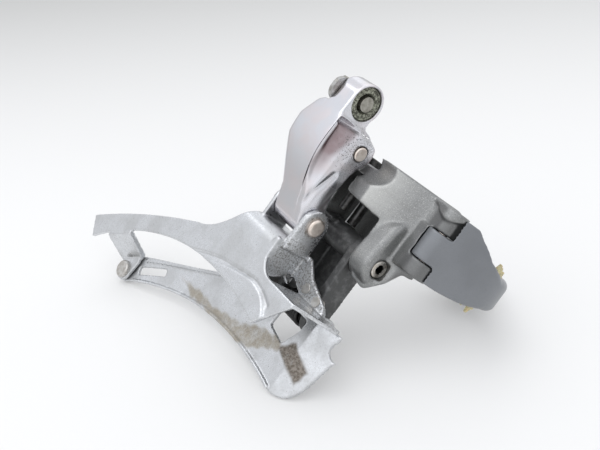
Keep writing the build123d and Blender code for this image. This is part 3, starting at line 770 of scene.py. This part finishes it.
anchorRing = {
    "node": "cable_anchor_insert", "sides": 96, "lump": 0.07,
    "profile": [(-32.9, 2.56), (-30.6, 2.56), (-30.2, 2.9), (-29.4, 3.12), (-28.75, 3.35), (-28.6, 3.7),
                (-28.6, 4.35), (-28.95, 4.5), (-28.95, 4.62), (-28.62, 4.78), (-28.62, 5.15),
                (-28.9, 5.38), (-32.9, 5.4)],
}


def buildAnchorRing(look):
    # a profile turned about the anchor's axis: (x, cy + r cos t, cz + r sin t), its face lumpy by
    # lump * (sin 5t + sin(11t + 1) + sin(17t + 2)) / 3
    fine = np.array(look["profile"])
    turn = np.linspace(0, 2 * np.pi, look["sides"], endpoint=False)
    along, radius = fine[:, :1], fine[:, 1:]
    lumps = (np.sin(5 * turn) + np.sin(11 * turn + 1) + np.sin(17 * turn + 2)) / 3
    face = ease(along, -29.2, -28.7) * look["lump"]
    x = along - face * (1 + lumps)
    y = pins["anchor"][0] + radius * np.cos(turn)
    z = pins["anchor"][1] + radius * np.sin(turn)
    points = toRow(np.stack([x, y, z], -1).reshape(-1, 3))
    faces = ringFaces(len(fine), look["sides"])
    body = frame["nodes"][look["node"]]["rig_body"]
    newPiece("anchor_ring", points, faces, body, zinc, look["node"])


buildAnchorRing(anchorRing)
print("anchor ring turned")

studio = {
    "floorSize": 3.0, "floorColour": (0.61, 0.61, 0.605), "farFloorShade": (0.245, 0.247, 0.24),
    "floorGlow": 0.20, "farFrom": 0.04, "farTo": 0.62,
    "worldTop": (0.93, 0.945, 0.98), "worldSide": (0.62, 0.62, 0.62), "worldStrength": 1.16,
    "keyPower": 1.0, "keySize": 0.6, "keyPlace": (-0.30, 0.10, 0.70),
    "fillPower": 0.6, "fillSize": 0.9, "fillPlace": (-0.28, -0.42, 0.34),
    "rimPower": 0.4, "rimPlace": (0.25, 0.50, 0.45), "target": (-0.03, -0.02, 0),
}
floorHeight = cadBounds[0][2]


def buildFloor():
    # one pale square at the object's lowest point, darker towards its far side as painted shade
    half = studio["floorSize"] / 2
    corners = np.array([(-half, -half), (half, -half), (half, half), (-half, half)])
    points = np.column_stack([corners, np.full(4, floorHeight)])
    mesh = bpy.data.meshes.new("floor")
    mesh.from_pydata(points.tolist(), [], [(0, 1, 2, 3)])
    floor = bpy.data.objects.new("floor", mesh)
    bpy.context.scene.collection.objects.link(floor)
    r = Recipe("pale_floor")
    split = r.tree.nodes.new("ShaderNodeSeparateXYZ")
    r.join(r.place, split.inputs["Vector"])
    # painted shade: the floor darkens with Object Y from farFrom to farTo
    far = r.span(split.outputs["Y"], studio["farFrom"], studio["farTo"])
    tint = r.mix(far, studio["floorColour"], studio["farFloorShade"])
    normal = r.bump(r.noise(6, 2), 0.05, 0.2)
    # painted light: the floor glows a little by emission, which lightens the shadows on it
    mesh.materials.append(r.finish(tint, 0.6, 0.0, normal, Emission_Strength=studio["floorGlow"]))


def softLight(name, place, size, power):
    # a square lamp turned towards the middle of the object
    lamp = bpy.data.lights.new(name, "AREA")
    lamp.size = size
    lamp.energy = power
    holder = bpy.data.objects.new(name, lamp)
    holder.location = place
    run = Vector(studio["target"]) - Vector(place)
    holder.rotation_euler = run.to_track_quat("-Z", "Y").to_euler()
    bpy.context.scene.collection.objects.link(holder)


def buildSky():
    # pale air, a little brighter overhead than at the sides
    world = bpy.data.worlds.new("studio_air")
    bpy.context.scene.world = world
    world.use_nodes = True
    tree = world.node_tree
    background = next(n for n in tree.nodes if n.type == "BACKGROUND")
    place = tree.nodes.new("ShaderNodeTexCoord")
    split = tree.nodes.new("ShaderNodeSeparateXYZ")
    ramp = tree.nodes.new("ShaderNodeValToRGB")
    tree.links.new(place.outputs["Generated"], split.inputs["Vector"])
    tree.links.new(split.outputs["Z"], ramp.inputs["Fac"])
    ramp.color_ramp.elements[0].color = (*studio["worldSide"], 1)
    ramp.color_ramp.elements[1].color = (*studio["worldTop"], 1)
    ramp.color_ramp.elements[1].position = 0.6
    tree.links.new(ramp.outputs["Color"], background.inputs["Color"])
    background.inputs["Strength"].default_value = studio["worldStrength"]


cameraView = {
    "place": (-0.035384, -0.237966, 0.150718), "right": (0.9970, -0.0004, -0.0780),
    "up": (0.0681, 0.4930, 0.8674), "back": (0.0381, -0.8700, 0.4915), "focal": 53.46, "sensor": 36.0,
}


def buildCamera():
    lens = bpy.data.cameras.new("camera")
    lens.lens = cameraView["focal"]
    lens.sensor_width = cameraView["sensor"]
    lens.clip_start = 0.01
    camera = bpy.data.objects.new("camera", lens)
    turn = Matrix([cameraView["right"], cameraView["up"], cameraView["back"]]).transposed()
    camera.matrix_world = Matrix.Translation(cameraView["place"]) @ turn.to_4x4()
    bpy.context.scene.collection.objects.link(camera)
    bpy.context.scene.camera = camera


buildFloor()
buildSky()
softLight("key_light", studio["keyPlace"], studio["keySize"], studio["keyPower"])
softLight("fill_light", studio["fillPlace"], studio["fillSize"], studio["fillPower"])
softLight("rim_light", studio["rimPlace"], studio["keySize"], studio["rimPower"])
buildCamera()
bpy.context.scene.view_settings.view_transform = "Standard"
print("studio ready")
